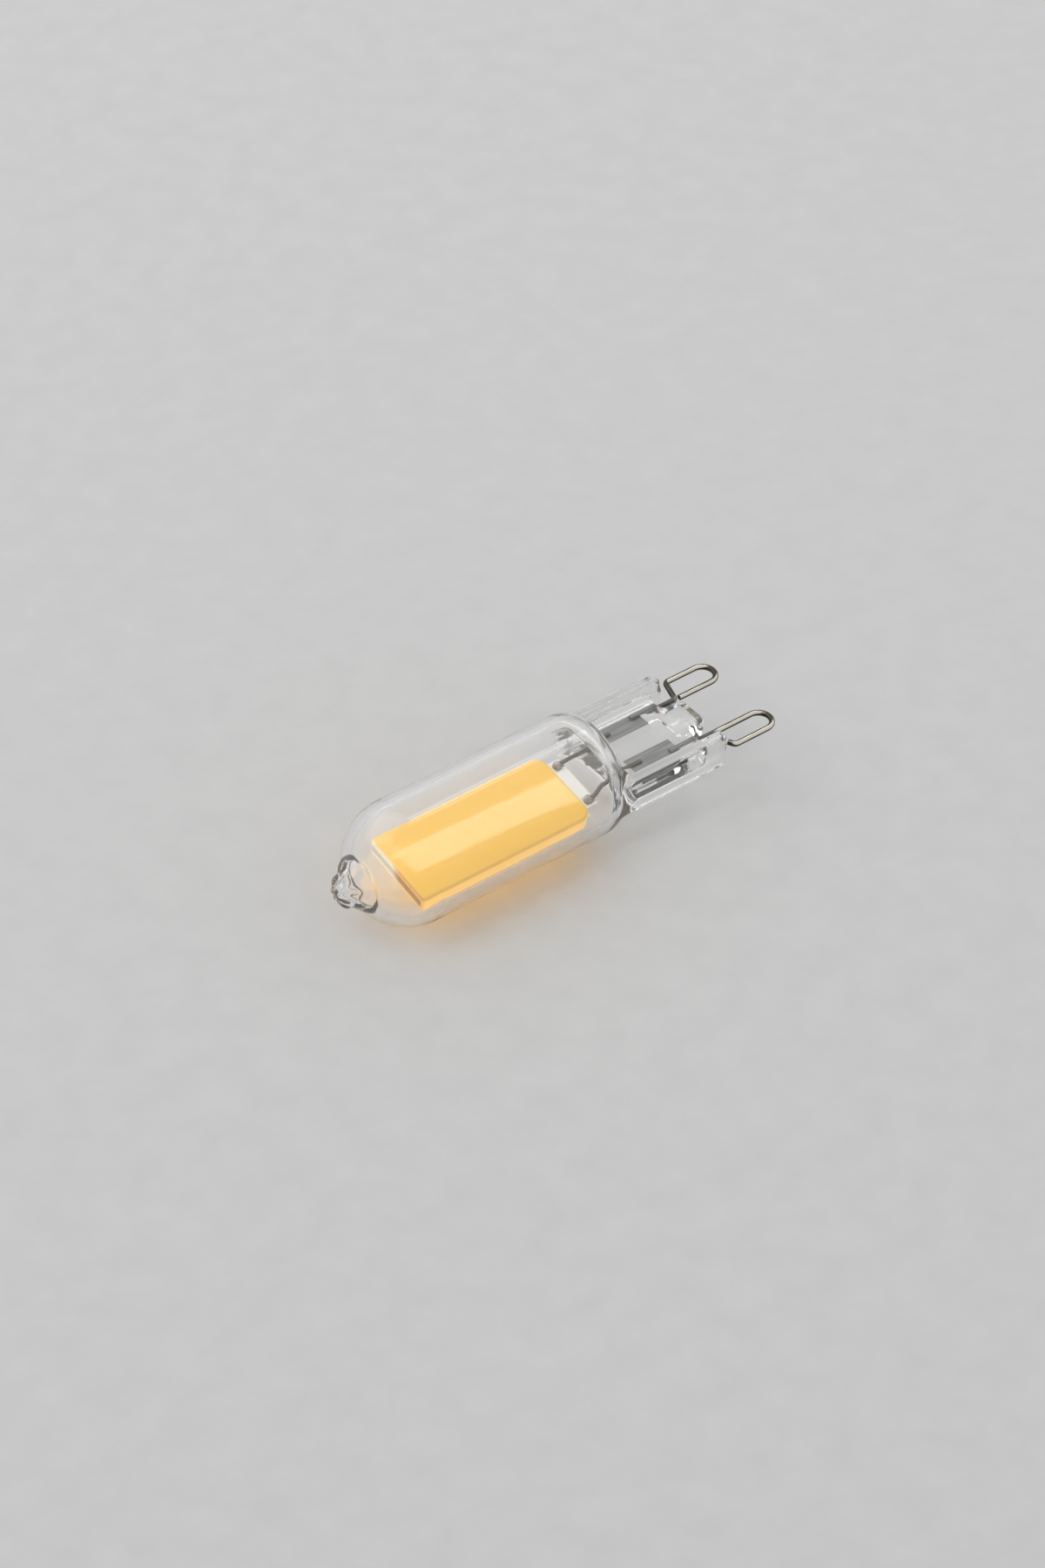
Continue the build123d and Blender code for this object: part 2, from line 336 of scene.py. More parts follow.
@dataclass(frozen=True)
class PhosphorSilicone:
    """Moulded silicone full of yellow phosphor: a soft body whose gloss mirrors the strip lamp as a stripe.

    The mould leaves its faces slightly crowned, which is drawn as a height because it is too little to model.
    Phosphor gives daylight back as yellow, drawn as a faint painted glow on top; a warm painted glow
    underneath stands in for light that has come through the ceramic.
    """

    name: str = "phosphor_silicone"
    dark: str = "#FDC730"
    light: str = "#FFCC42"
    # The end is painted pale on its far half and darker on its near half: painted light and shade.
    end: PaintedEndLight = PaintedEndLight(near="#E3A347")
    # Painted glow: the coat gives out light, faintly on top and warmly on the faces that look down.
    painted_top_glow: str = "#3C2A00"
    painted_underglow: str = "#F4BE63"
    painted_glow_level: float = 2.2
    painted_glow_facing: tuple[float, float] = (0.9, -0.95)
    painted_glow_gathering: float = 2.6
    roughness: float = 0.07
    gloss: float = 0.75
    scatter_weight: float = 0.15
    scatter_colour: Triple = (1.0, 0.6, 0.2)
    scatter_depth: float = 0.35 * MM
    grain: Noise = Noise.MEDIUM
    relief: float = 0.0005 * MM
    crown_middle: Triple = (-7.88 * MM, 0.0, 0.0)
    crown_radii: tuple[float, float] = (100 * MM, 58 * MM)

    def crown(self, tree: bpy.types.NodeTree, pattern: Socket) -> Socket:
        """Adds the crowned and slightly uneven face.

        Args:
            tree: Node tree that gets the face.
            pattern: Socket with the mottled pattern.

        Returns:
            Socket with the direction that the face looks in.
        """
        on_piece = add_node(tree, "ShaderNodeTexCoord").outputs["Object"]
        off = add_node(
            tree, "ShaderNodeVectorMath", {0: on_piece, 1: self.crown_middle}, operation="SUBTRACT"
        )
        # A face of radius R lies x * x / (2 * R) lower at a distance of x from its middle.
        bend = tuple(1 / math.sqrt(2 * radius) for radius in self.crown_radii) + (0.0,)
        bent = add_node(tree, "ShaderNodeVectorMath", {0: off.outputs[0], 1: bend}, operation="MULTIPLY")
        drop = add_node(
            tree, "ShaderNodeVectorMath", {0: bent.outputs[0], 1: bent.outputs[0]}, operation="DOT_PRODUCT"
        )
        height = add_node(
            tree,
            "ShaderNodeMath",
            {0: pattern, 1: self.relief, 2: drop.outputs["Value"]},
            operation="MULTIPLY_ADD",
        )
        # The height is a depth in metres, so it counts downwards and in full.
        bump = add_node(
            tree, "ShaderNodeBump", {"Height": height.outputs[0], "Distance": 1.0}, invert=True
        )
        return bump.outputs["Normal"]

    def painted_glow(self, tree: bpy.types.NodeTree) -> Socket:
        """Adds the coat's painted glow, faint on top and warm below.

        Args:
            tree: Node tree that gets the glow.

        Returns:
            Socket with the glow's colour.
        """
        above, below = self.painted_glow_facing
        turned = facing(tree, Axis.UP)
        downward = add_node(
            tree, "ShaderNodeMapRange", {"Value": turned, "From Min": above, "From Max": below}
        )
        underside = add_node(
            tree, "ShaderNodeMath", {0: downward.outputs[0], 1: self.painted_glow_gathering}, operation="POWER"
        )
        return shade(tree, underside.outputs[0], self.painted_top_glow, self.painted_underglow, 0.0, 1.0)

    def material(self) -> bpy.types.Material:
        """Makes the coat's material.

        Returns:
            The material, glossy and crowned, with its painted glow.
        """
        material, tree, output = new_material(self.name)
        pattern = mottle(tree, self.grain)
        surface = add_node(
            tree,
            "ShaderNodeBsdfPrincipled",
            {
                "Base Color": self.end.over(tree, shade(tree, pattern, self.dark, self.light)),
                "Roughness": self.roughness,
                "Specular IOR Level": self.gloss,
                "Subsurface Weight": self.scatter_weight,
                "Subsurface Radius": self.scatter_colour,
                "Subsurface Scale": self.scatter_depth,
                "Emission Color": self.painted_glow(tree),
                "Emission Strength": self.painted_glow_level,
                "Normal": self.crown(tree, pattern),
            },
        )
        tree.links.new(surface.outputs[0], output.inputs["Surface"])
        return material


@dataclass(frozen=True)
class PaintedHighlightWire:
    """Drawn nickel wire, darkened by the sealing flame, with a painted highlight along one side of the loops
    and painted shade on their flanks.

    Along the lamp it is foil-grey where it is fused into the glass, dark where the flame played on it, and
    from there on dark with a painted highlight along the side of the loops that faces up and forward.
    """

    name: str = "drawn_nickel_wire"
    # Painted shade on the loops' flanks and a painted highlight along their side that faces up and forward.
    painted_dark_flanks: str = "#47433A"
    painted_highlight: str = "#DAD5C8"
    highlight_facing: Triple = (-0.05, -0.67, 0.74)
    highlight_edge: tuple[float, float] = (0.9, 1.0)
    unevenness: float = 0.25
    fused: str = "#82817E"
    fused_to: float = 15.6 * MM
    blackened: str = "#5E5C58"
    blackened_to: float = 18.6 * MM
    fading: float = 0.8 * MM
    grain: Noise = Noise.MEDIUM
    stretch: Triple = (0.3, 1, 1)
    roughness: float = 0.25
    relief: float = 0.002 * MM

    def painted_loop_colour(self, tree: bpy.types.NodeTree, pattern: Socket) -> Socket:
        """Adds the loops' colour: painted shade on the flanks, a painted highlight where they face up and
        forward.

        Args:
            tree: Node tree that gets the colour.
            pattern: Socket with the mottled pattern.

        Returns:
            Socket with the colour.
        """
        side = add_node(tree, "ShaderNodeTexCoord").outputs["Normal"]
        highlight_share = add_node(
            tree, "ShaderNodeVectorMath", {0: side, 1: self.highlight_facing}, operation="DOT_PRODUCT"
        )
        uneven = add_node(
            tree,
            "ShaderNodeMath",
            {0: pattern, 1: self.unevenness, 2: highlight_share.outputs["Value"]},
            operation="MULTIPLY_ADD",
        )
        return shade(tree, uneven.outputs[0], self.painted_dark_flanks, self.painted_highlight, *self.highlight_edge)

    def material(self) -> bpy.types.Material:
        """Makes the wire's material.

        Returns:
            The material, which changes along the wire and round it.
        """
        material, tree, output = new_material(self.name)
        pattern = mottle(tree, self.grain, self.stretch)
        bump = add_node(tree, "ShaderNodeBump", {"Height": pattern, "Distance": self.relief})
        along = place(tree, Axis.ALONG)
        fused_end = self.fused_to + self.fading
        sealed = shade(tree, along, self.fused, self.blackened, self.fused_to, fused_end)
        flame_end = self.blackened_to + self.fading
        out_of_flame = add_node(
            tree,
            "ShaderNodeMapRange",
            {"Value": along, "From Min": self.blackened_to, "From Max": flame_end},
        )
        colour = add_node(
            tree,
            "ShaderNodeMix",
            {MIX_SHARE: out_of_flame.outputs[0], MIX_FROM: sealed, MIX_TO: self.painted_loop_colour(tree, pattern)},
            data_type="RGBA",
        )
        surface = add_node(
            tree,
            "ShaderNodeBsdfPrincipled",
            {
                "Base Color": colour.outputs[MIX_RESULT],
                "Roughness": self.roughness,
                "Metallic": 1.0,
                "Normal": bump.outputs["Normal"],
            },
        )
        tree.links.new(surface.outputs[0], output.inputs["Surface"])
        return material


# Sintered alumina: an even, matt white that makes the coat beside it look saturated.
ALUMINA = CeramicWithPaintedEnd("alumina_ceramic", "#F8F6F2", "#FDFCF9", roughness=0.55, grain=Noise.FINE)
# Silver paste, printed and fired: a pale metal without a clear mirror image.
SILVER_PRINT = MottledFinish(
    "printed_silver", "#B9B6AE", "#D6D4CE", roughness=0.45, metallic=1.0, grain=Noise.FINE
)
# Sawn and polished sapphire chips: small, pale and glassy.
LED_DIE = MottledFinish("sapphire_led_die", "#C9D0D4", "#DDE3E6", roughness=0.2, grain=Noise.FINE)
# Polished silicon: the only near-black pieces on the board.
DRIVER_DIE = MottledFinish("silicon_die", "#2A2C30", "#3A3D42", roughness=0.25, grain=Noise.FINE)
# Solder that set in air: lumpy, dull and grey.
SOLDER = MottledFinish(
    "oxidised_solder", "#85807A", "#B4AEA6", roughness=0.4, metallic=1.0, relief=0.03 * MM
)
# Drawn nickel, browned by the sealing flame: a dark line from the board to the seal.
LEAD_WIRE = MottledFinish(
    "oxidised_nickel_lead", "#5A554A", "#857C6B", roughness=0.35, metallic=1.0, stretch=(0.2, 1, 1)
)
# Rolled molybdenum, etched at its edges: flat grey strips, streaked along the rolling.
SEAL_FOIL = MottledFinish(
    "rolled_molybdenum_foil", "#6A6A68", "#8C8C8A", roughness=0.45, metallic=1.0, stretch=(0.2, 2, 1)
)


def smooth_min(a: np.ndarray, b: np.ndarray, blend: float | np.ndarray) -> np.ndarray:
    """Joins two distance fields with a rounded seam.

    Args:
        a: First field.
        b: Second field.
        blend: Width of the seam, one number or one for each place.

    Returns:
        The joined field.
    """
    overlap = np.maximum(blend - np.abs(a - b), 0)
    return np.minimum(a, b) - overlap**2 / (4 * blend)


def smooth_max(a: np.ndarray, b: np.ndarray, blend: float | np.ndarray) -> np.ndarray:
    """Cuts one distance field by another with a rounded edge, as smooth_min joins them."""
    return -smooth_min(-a, -b, blend)


def rounded_box(u: np.ndarray, v: np.ndarray, half_u: float, half_v: float, radius: float) -> np.ndarray:
    """Distance to a rectangle with rounded corners, centred on zero.

    Args:
        u: Place along the first side.
        v: Place along the second side.
        half_u: Half of the first side.
        half_v: Half of the second side.
        radius: Corner radius.

    Returns:
        Distance, negative inside.
    """
    over_u = np.abs(u) - half_u + radius
    over_v = np.abs(v) - half_v + radius
    outside = np.hypot(np.maximum(over_u, 0), np.maximum(over_v, 0))
    return outside + np.minimum(np.maximum(over_u, over_v), 0) - radius


def surface_net(
    distance: Distance, low: np.ndarray, high: np.ndarray, step: float
) -> tuple[np.ndarray, np.ndarray]:
    """Meshes the zero surface of a distance field, one vertex for each grid cell that it crosses.

    Args:
        distance: Function of x, y and z arrays.
        low: Lowest corner of the region.
        high: Highest corner of the region.
        step: Grid spacing.

    Returns:
        Vertices and quads that face the positive side.
    """
    margin = 1.5 * step
    axes = [np.arange(a - margin, b + margin + step, step) for a, b in zip(low, high)]
    grid = np.stack(np.meshgrid(*axes, indexing="ij"), -1)
    value = distance(grid[..., 0], grid[..., 1], grid[..., 2])
    inside = value < 0
    cells = tuple(n - 1 for n in value.shape)
    total = np.zeros((*cells, 3))
    count = np.zeros(cells)
    for axis in range(3):
        others = [a for a in range(3) if a != axis]
        first = [slice(None)] * 3
        second = [slice(None)] * 3
        first[axis], second[axis] = slice(None, -1), slice(1, None)
        a, b = value[tuple(first)], value[tuple(second)]
        crossed = (a < 0) != (b < 0)
        share = np.where(crossed, a / np.where(crossed, a - b, 1), 0)
        point = grid[tuple(first)] + share[..., None] * (grid[tuple(second)] - grid[tuple(first)])
        for da in (0, 1):
            for db in (0, 1):
                pick = [slice(None)] * 3
                pick[others[0]] = slice(da, da + cells[others[0]])
                pick[others[1]] = slice(db, db + cells[others[1]])
                hit = crossed[tuple(pick)]
                total += np.where(hit[..., None], point[tuple(pick)], 0)
                count += hit
    used = count > 0
    index = np.full(cells, -1)
    index[used] = np.arange(used.sum())
    return total[used] / count[used][:, None], net_faces(inside, index)


def net_faces(inside: np.ndarray, index: np.ndarray) -> np.ndarray:
    """Joins the vertices round each grid edge that crosses the surface.

    Args:
        inside: For each grid point, whether it lies inside.
        index: For each grid cell, the number of its vertex.

    Returns:
        Quads that face outwards.
    """
    quads = []
    for axis in range(3):
        b_axis, c_axis = (axis + 1) % 3, (axis + 2) % 3
        first = [slice(1, -1)] * 3
        second = [slice(1, -1)] * 3
        first[axis], second[axis] = slice(0, -1), slice(1, None)
        start, end = inside[tuple(first)], inside[tuple(second)]
        for rising in (True, False):
            where = np.argwhere(start & ~end if rising else end & ~start)
            corner = where + np.where(np.arange(3) == axis, 0, 1)
            ring = []
            for db, dc in ((-1, -1), (0, -1), (0, 0), (-1, 0)):
                cell = corner.copy()
                cell[:, b_axis] += db
                cell[:, c_axis] += dc
                ring.append(index[tuple(cell.T)])
            ring = np.stack(ring, 1)
            quads.append(ring if rising else ring[:, ::-1])
    return np.concatenate(quads)


def slope(distance: Distance, points: np.ndarray, reach: float) -> np.ndarray:
    """Works out the gradient of a distance field by central differences.

    Args:
        distance: Function of x, y and z arrays.
        points: Places where the gradient is wanted.
        reach: How far to each side of them the field is read.

    Returns:
        Gradient at each point.
    """
    parts = []
    for axis in range(3):
        nudge = np.zeros(3)
        nudge[axis] = reach
        parts.append(distance(*(points + nudge).T) - distance(*(points - nudge).T))
    return np.stack(parts, 1) / (2 * reach)


def settle(
    distance: Distance, points: np.ndarray, reach: float, rounds: int = 4
) -> tuple[np.ndarray, np.ndarray]:
    """Moves points onto the zero surface.

    Args:
        distance: Function of x, y and z arrays.
        points: Points near the surface.
        reach: Step of the gradient.
        rounds: How often the points are moved.

    Returns:
        The moved points and the surface's unit normals there.
    """
    flattest = 1e-6
    for _ in range(rounds):
        gradient = slope(distance, points, reach)
        size = np.maximum((gradient**2).sum(1), flattest)
        points = points - gradient * (distance(*points.T) / size)[:, None]
    gradient = slope(distance, points, reach)
    return points, gradient / np.linalg.norm(gradient, axis=1)[:, None]


@dataclass
class GlassEnvelope:
    """Dome, tube, shoulder, press seal and exhaust tip, as one piece of melted glass round a sealed space."""

    finish: ClearGlass = field(default_factory=ClearGlass)
    mesh_step: float = 0.23 * MM
    mesh_reach: float = 0.02 * MM

    # Tube and shoulder
    wall: float = 1.0 * MM
    straight_length: float = 20.5 * MM
    shoulder_radius: float = 2.8 * MM
    chamber_end_radius: float = 2.2 * MM
    chamber_end_wall: float = 0.9 * MM

    # Exhaust tip: a lumpy bead on a ring of thicker glass, with the funnel of the bore inside
    tip_height: float = 2.0 * MM
    bead_radius: float = 2.1 * MM
    bead_root_radius: float = 2.9 * MM
    bead_root_x: float = 2.75 * MM
    bead_root_half: float = 1.0 * MM
    neck_blend: float = 0.6 * MM
    bead_lumps: float = 0.15 * MM
    lump_run: float = 0.38 * MM
    lump_reach: float = 0.42 * MM
    lump_twist: float = 1.3
    lumps_round: tuple[int, int] = (5, 7)
    lump_fade: float = 1.0 * MM
    bore_radius: float = 2.4 * MM
    bore_end_radius: float = 1.1 * MM
    bore_wall: float = 0.9 * MM
    bore_blend: float = 0.35 * MM

    # Press seal
    seal_width: float = 12.6 * MM
    rail_thickness: float = 4.0 * MM
    rail_width: float = 1.65 * MM
    prong_width: float = 2.1 * MM
    rail_edge_radius: float = 0.55 * MM
    rail_blend: float = 0.5 * MM
    web_thickness: float = 2.5 * MM
    tongue_width: float = 4.2 * MM
    tongue_overhang: float = 0.4 * MM
    outline_corner_radius: float = 1.0 * MM
    outline_blend: float = 0.8 * MM
    outline_edge_blend: float = 0.85 * MM
    notch_depth: float = 2.1 * MM
    groove_radius: float = 1.5 * MM
    groove_depth: float = 0.3 * MM
    groove_to_notch: float = 1.3 * MM
    groove_end_blend: float = 0.6 * MM
    groove_edge_blend: float = 0.25 * MM
    body_corner_radius: float = 0.1 * MM
    root_blend: float = 1.4 * MM
    root_crease: float = 0.1 * MM
    root_fade: float = 2.0 * MM

    def __post_init__(self) -> None:
        """Takes the stations along the lamp from the CAD envelope."""
        low, high = (np.array(corner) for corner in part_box("glass_envelope"))
        self.low, self.high = low, high
        self.radius = (high[2] - low[2]) / 2
        self.axis_height = (high[2] + low[2]) / 2
        self.dome_x = low[0] + self.tip_height + self.radius
        self.root_x = self.dome_x + self.straight_length + self.shoulder_radius
        self.tongue_end_x = high[0]
        self.seal_end_x = high[0] - self.tongue_overhang
        self.notch_x = self.seal_end_x - self.notch_depth

    def lumps(self, x: np.ndarray, across: np.ndarray, round_about: np.ndarray) -> np.ndarray:
        """Unevenness of the melted tip: how far its surface lies below a smooth bead, evenly at the axis.

        Args:
            x: Place along the lamp.
            across: Distance from its axis.
            round_about: Angle round its axis.

        Returns:
            Depth, 0 to twice bead_lumps.
        """
        along = x / self.lump_run
        out = across / self.lump_reach
        coarse_round, fine_round = self.lumps_round
        coarse = np.sin(coarse_round * round_about + along) * np.sin(out + self.lump_twist)
        fine = np.sin(fine_round * round_about - self.lump_twist * along + out)
        return self.bead_lumps * (1 + (coarse + fine) / 2 * np.minimum(across / self.lump_fade, 1))

    def tube(self, x: np.ndarray, across: np.ndarray, round_about: np.ndarray) -> np.ndarray:
        """Distance to the turned part: bead, neck, dome, tube and shoulder.

        Args:
            x: Place along the lamp.
            across: Distance from its axis.
            round_about: Angle round its axis.

        Returns:
            Distance, negative inside.
        """
        dome = np.hypot(np.minimum(x - self.dome_x, 0), across) - self.radius
        half = (self.root_x - self.dome_x) / 2 + self.radius
        middle = self.root_x - half
        shoulder = rounded_box(x - middle, across, half, self.radius, self.shoulder_radius)
        bead_x = self.low[0] + self.bead_radius - self.bead_lumps
        bead = np.hypot(x - bead_x, across) - self.bead_radius
        root = rounded_box(
            x - self.low[0] - self.bead_root_x,
            across,
            self.bead_root_half,
            self.bead_root_radius,
            self.bead_root_half,
        )
        tip = smooth_min(bead, root, self.neck_blend) + self.lumps(x, across, round_about)
        return smooth_min(np.maximum(dome, shoulder), tip, self.neck_blend)

    def seal(self, x: np.ndarray, y: np.ndarray, z: np.ndarray) -> np.ndarray:
        """Distance to the press seal: rails and web, cut to the outline, with a groove on each face.

        Args:
            x: Place along the lamp.
            y: Place across the seal.
            z: Height above the lamp's axis.

        Returns:
            Distance, negative inside.
        """
        half_width = self.seal_width / 2
        rail_side = np.abs(y) - half_width + self.rail_width / 2
        rail = rounded_box(rail_side, z, self.rail_width / 2, self.rail_thickness / 2, self.rail_edge_radius)
        web = rounded_box(y, z, half_width, self.web_thickness / 2, self.rail_edge_radius)
        section = smooth_min(rail, web, self.rail_blend)
        start = self.dome_x
        body_half = (self.notch_x - start) / 2
        body = rounded_box(x - start - body_half, y, body_half, half_width, self.body_corner_radius)
        prong_side = np.abs(y) - half_width + self.prong_width / 2
        prong_run = (self.seal_end_x - start) / 2
        prongs = rounded_box(
            x - start - prong_run, prong_side, prong_run, self.prong_width / 2, self.outline_corner_radius
        )
        tongue_run = (self.tongue_end_x - start) / 2
        tongue = rounded_box(
            x - start - tongue_run, y, tongue_run, self.tongue_width / 2, self.outline_corner_radius
        )
        outline = smooth_min(smooth_min(prongs, tongue, self.outline_blend), body, self.outline_blend)
        solid = smooth_max(section, outline, self.outline_edge_blend)
        groove_x = self.notch_x - self.groove_to_notch
        groove_z = self.web_thickness / 2 - self.groove_depth + self.groove_radius
        groove = np.hypot(x - groove_x, np.abs(z) - groove_z) - self.groove_radius
        groove = smooth_max(groove, np.abs(y) - self.tongue_width / 2, self.groove_end_blend)
        return smooth_max(solid, -groove, self.groove_edge_blend)

    def outside(self, x: np.ndarray, y: np.ndarray, z: np.ndarray) -> np.ndarray:
        """Distance to the whole outer surface. The seal's root is rounded less where the lamp is widest.

        Args:
            x: Place along the lamp.
            y: Place across it.
            z: Height above the floor.

        Returns:
            Distance, negative inside.
        """
        z = z - self.axis_height
        tube = self.tube(x, np.hypot(y, z), np.arctan2(z, y))
        room = np.clip((self.radius - self.root_crease - np.abs(y)) / self.root_fade, 0, 1)
        return smooth_min(tube, self.seal(x, y, z), self.root_blend * room + self.root_crease)

    def chamber(self, x: np.ndarray, y: np.ndarray, z: np.ndarray) -> np.ndarray:
        """Distance to the sealed space, with the bore that runs into the tip.

        Args:
            x: Place along the lamp.
            y: Place across it.
            z: Height above the floor.

        Returns:
            Distance, negative inside the space.
        """
        across = np.hypot(y, z - self.axis_height)
        inner = self.radius - self.wall
        dome = np.hypot(np.minimum(x - self.dome_x, 0), across) - inner
        end_x = self.root_x - self.chamber_end_wall
        half = (end_x - self.dome_x) / 2 + self.radius
        shoulder = rounded_box(x - end_x + half, across, half, inner, self.chamber_end_radius)
        bore_start = self.low[0] + self.bore_wall
        bore_end = self.dome_x - inner
        share = np.clip((x - bore_start) / (bore_end - bore_start), 0, 1)
        flare = self.bore_end_radius + share * (self.bore_radius - self.bore_end_radius)
        bore = np.maximum(np.hypot(np.minimum(x - bore_start - flare, 0), across) - flare, x - self.dome_x)
        return smooth_min(np.maximum(dome, shoulder), bore, self.bore_blend)

    def build(self) -> list[str]:
        """Makes the glass piece, which stands for the CAD envelope.

        Returns:
            The piece's name.
        """
        parts = []
        for distance, inward in ((self.outside, False), (self.chamber, True)):
            vertices, quads = surface_net(distance, self.low, self.high, self.mesh_step)
            vertices, normals = settle(distance, vertices, self.mesh_reach)
            if inward:
                quads, normals = quads[:, ::-1], -normals
            parts.append((vertices, quads, normals))
        (outer, outer_quads, outer_normals), (inner, inner_quads, inner_normals) = parts
        # A lump of the tip, or rounding, may put a vertex a hair outside the CAD's box.
        vertices = np.clip(np.concatenate([outer, inner]), self.low, self.high)
        quads = np.concatenate([outer_quads, inner_quads + len(outer)])
        mesh = bpy.data.meshes.new("clear_glass")
        mesh.from_pydata(vertices.tolist(), [], quads.tolist())
        mesh.shade_smooth()
        mesh.normals_split_custom_set_from_vertices(np.concatenate([outer_normals, inner_normals]).tolist())
        mesh.materials.append(self.finish.material())
        glass = bpy.data.objects.new("clear_glass", mesh)
        bpy.context.collection.objects.link(glass)
        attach(glass, "root")
        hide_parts("glass_envelope")
        return [glass.name]


@dataclass
class CoatedBoard:
    """The ceramic board, its dies and tracks, and the phosphor coat round them."""

    coat: PhosphorSilicone = field(default_factory=PhosphorSilicone)
    ceramic: CeramicWithPaintedEnd = ALUMINA
    print_metal: MottledFinish = SILVER_PRINT
    led_die: MottledFinish = LED_DIE
    driver_die: MottledFinish = DRIVER_DIE

    def build(self) -> list[str]:
        """Gives each CAD piece of the board its finish.

        Returns:
            Names of the pieces.
        """
        tracks = ("chip_tracks_top", "chip_tracks_bottom", "input_pad_left", "input_pad_right")
        return [
            *dress(self.coat.material(), "phosphor_coat"),
            *dress(self.ceramic.material(), "led_board"),
            *dress(self.print_metal.material(), *tracks),
            *dress(self.led_die.material(), "led_chips_top", "led_chips_bottom"),
            *dress(self.driver_die.material(), "rectifier_diodes", "current_regulator"),
        ]


@dataclass
class Conductors:
    """Everything that carries current from the pins to the board."""

    solder: MottledFinish = SOLDER
    lead: MottledFinish = LEAD_WIRE
    foil: MottledFinish = SEAL_FOIL
    pin: PaintedHighlightWire = field(default_factory=PaintedHighlightWire)

    def build(self) -> list[str]:
        """Gives each CAD piece of metal its finish.

        Returns:
            Names of the pieces.
        """
        return [
            *dress(self.solder.material(), "solder_joint_left", "solder_joint_right"),
            *dress(self.lead.material(), "inner_lead_left", "inner_lead_right"),
            *dress(self.foil.material(), "seal_foil_left", "seal_foil_right"),
            *dress(self.pin.material(), "contact_pin_left", "contact_pin_right"),
        ]


def dress(material: bpy.types.Material, *names: str) -> tuple[str, ...]:
    """Puts a material on CAD nodes.

    Args:
        material: Material that the nodes get.
        *names: Names of the nodes.

    Returns:
        The same names.
    """
    for name in names:
        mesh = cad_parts[name].data
        mesh.materials.clear()
        mesh.materials.append(material)
    return names


@dataclass(frozen=True)
class AreaLamp:
    """A flat lamp that faces the bulb, with sizes in metres. A lamp of radiance 1 looks just white."""

    name: str
    direction: Triple
    distance: float
    size: tuple[float, float]
    radiance: float
    height_along: Triple = (0, 0, 1)
    aim: Triple = (0, 0, 6.5 * MM)

    def hang(self) -> None:
        """Adds the lamp to the scene."""
        data = bpy.data.lights.new(self.name, "AREA")
        data.shape = "RECTANGLE"
        data.size, data.size_y = self.size
        data.energy = self.radiance * math.pi * self.size[0] * self.size[1]
        lamp = bpy.data.objects.new(self.name, data)
        back = Vector(self.direction).normalized()
        along = Vector(self.height_along)
        up = (along - back * back.dot(along)).normalized()
        turn = Matrix((up.cross(back), up, back)).transposed().to_4x4()
        lamp.matrix_world = Matrix.Translation(back * self.distance + Vector(self.aim)) @ turn
        bpy.context.collection.objects.link(lamp)


# Soft light from behind the bulb, which gives the floor its shadow.
KEY_LAMP = AreaLamp("key", direction=(-0.25, 0.62, 0.75), distance=0.9, size=(0.9, 0.9), radiance=0.95)
# The strip that the phosphor coat mirrors.
STRIP_LAMP = AreaLamp(
    "strip",
    direction=(0.4594, 0.3244, 0.8269),
    distance=0.5,
    size=(0.08, 0.235),
    radiance=2.7,
    height_along=(0.884, -0.016, -0.467),
)


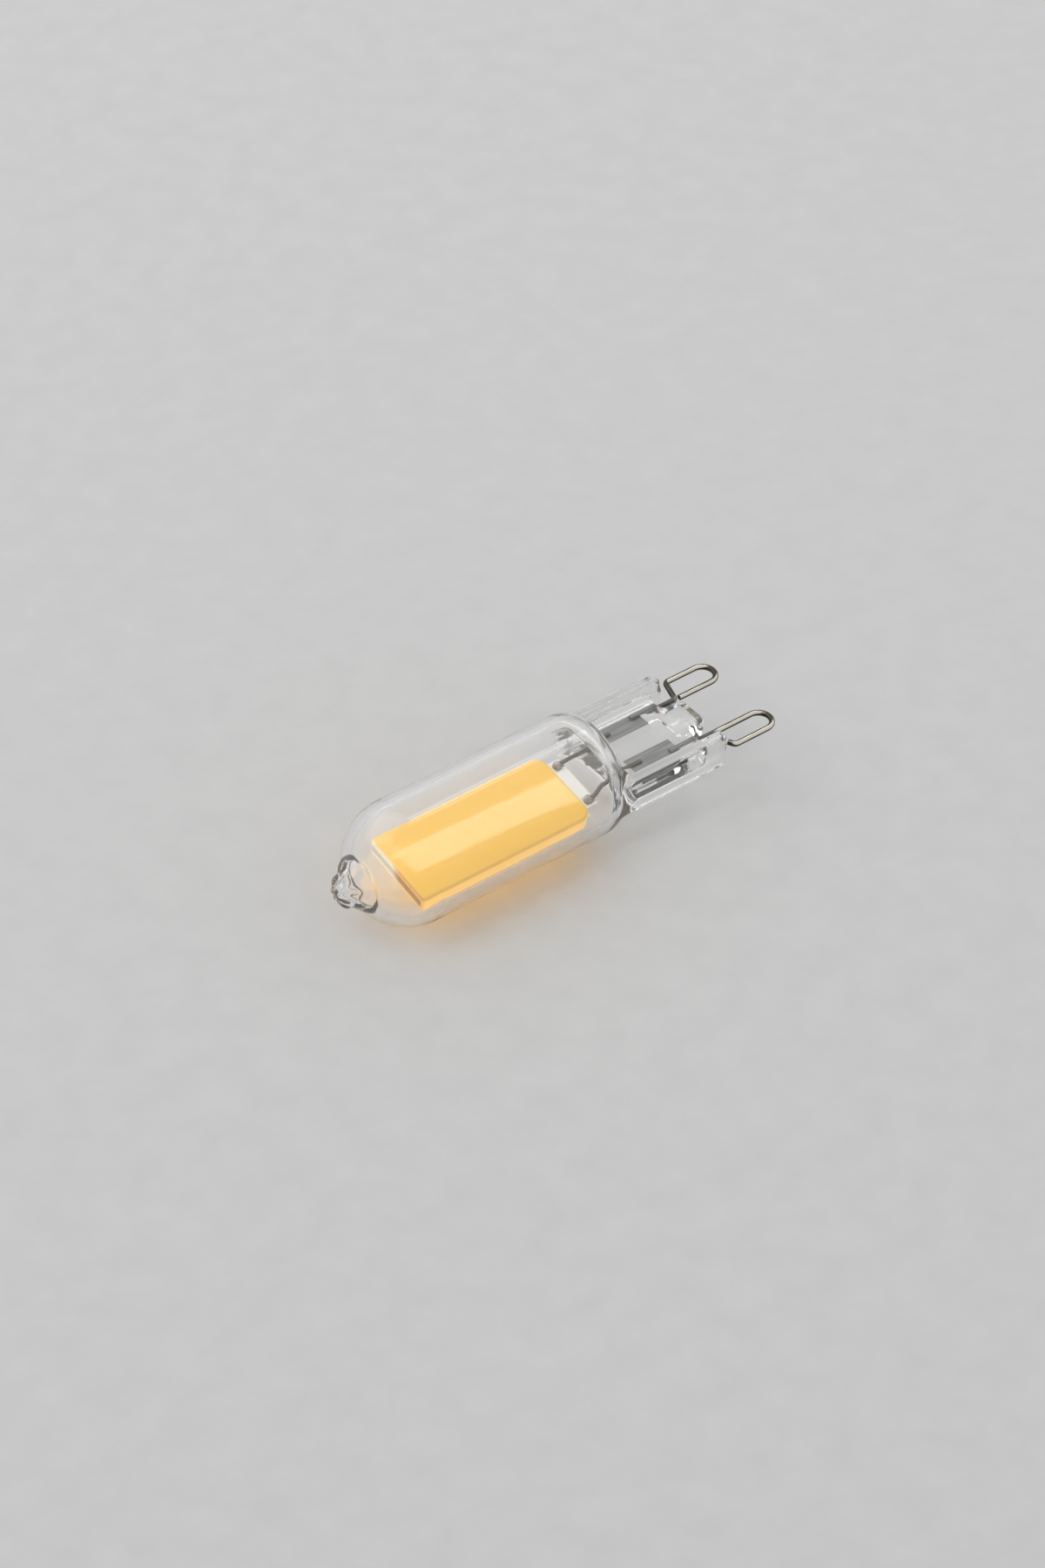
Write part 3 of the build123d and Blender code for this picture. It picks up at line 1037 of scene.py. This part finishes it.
@dataclass
class Studio:
    """Floor, lamps, surroundings and camera. Angles are in degrees, lens and film in plain millimetres."""

    floor_dark: str = "#C4C4C4"
    floor_light: str = "#C8C8C8"
    floor_roughness: float = 0.8
    floor_gloss: float = 0.2
    floor_size: float = 6.0
    lamps: tuple[AreaLamp, ...] = (KEY_LAMP, STRIP_LAMP)
    surroundings: str = "#FFFFFF"
    surroundings_level: float = 0.80
    target: Triple = (-2.85 * MM, -0.21 * MM, 9.11 * MM)
    azimuth: float = -37.0
    elevation: float = 41.4
    camera_distance: float = 424.8 * MM
    lens: float = 100.0
    film_width: float = 36.0
    nearest_seen: float = 10 * MM

    def floor(self) -> None:
        """Lays a large sheet of matt grey paper, which has no gloss for the eye to catch on."""
        material, tree, output = new_material("grey_background_paper")
        pattern = mottle(tree, Noise.COARSE)
        paper = add_node(
            tree,
            "ShaderNodeBsdfPrincipled",
            {
                "Base Color": shade(tree, pattern, self.floor_dark, self.floor_light),
                "Roughness": self.floor_roughness,
                "Specular IOR Level": self.floor_gloss,
            },
        )
        tree.links.new(paper.outputs[0], output.inputs["Surface"])
        half = self.floor_size / 2
        mesh = bpy.data.meshes.new("floor")
        corners = [(-half, -half, 0), (half, -half, 0), (half, half, 0), (-half, half, 0)]
        mesh.from_pydata(corners, [], [(0, 1, 2, 3)])
        mesh.materials.append(material)
        floor = bpy.data.objects.new("floor", mesh)
        bpy.context.collection.objects.link(floor)

    def world(self) -> None:
        """Puts an even pale room round the scene."""
        world = bpy.data.worlds.new("pale_room")
        bpy.context.scene.world = world
        world.use_nodes = True
        tree = world.node_tree
        tree.nodes.clear()
        room = add_node(
            tree,
            "ShaderNodeBackground",
            {"Color": linear(self.surroundings), "Strength": self.surroundings_level},
        )
        output = add_node(tree, "ShaderNodeOutputWorld")
        tree.links.new(room.outputs[0], output.inputs["Surface"])

    def camera(self) -> None:
        """Sets the camera where the photograph was taken from."""
        azimuth, elevation = math.radians(self.azimuth), math.radians(self.elevation)
        back = Vector(
            (
                math.sin(azimuth) * math.cos(elevation),
                -math.cos(azimuth) * math.cos(elevation),
                math.sin(elevation),
            )
        )
        data = bpy.data.cameras.new("photograph")
        data.lens = self.lens
        data.sensor_width = self.film_width
        data.clip_start = self.nearest_seen
        camera = bpy.data.objects.new("photograph", data)
        camera.location = Vector(self.target) + back * self.camera_distance
        camera.rotation_euler = back.to_track_quat("Z", "Y").to_euler()
        bpy.context.collection.objects.link(camera)
        bpy.context.scene.camera = camera

    def build(self) -> list[str]:
        """Sets up the whole studio.

        Returns:
            Names of the floor and the lamps.
        """
        self.floor()
        for lamp in self.lamps:
            lamp.hang()
        self.world()
        self.camera()
        bpy.context.scene.view_settings.view_transform = "Standard"
        return ["floor", *(lamp.name for lamp in self.lamps)]


def main() -> None:
    """Builds the bulb and the studio."""
    logging.basicConfig(level=logging.INFO, format="%(name)s: %(message)s")
    for assembly in (GlassEnvelope(), CoatedBoard(), Conductors(), Studio()):
        for piece in assembly.build():
            LOG.info("%s: %s", type(assembly).__name__, piece)


if __name__ == "__main__":
    main()
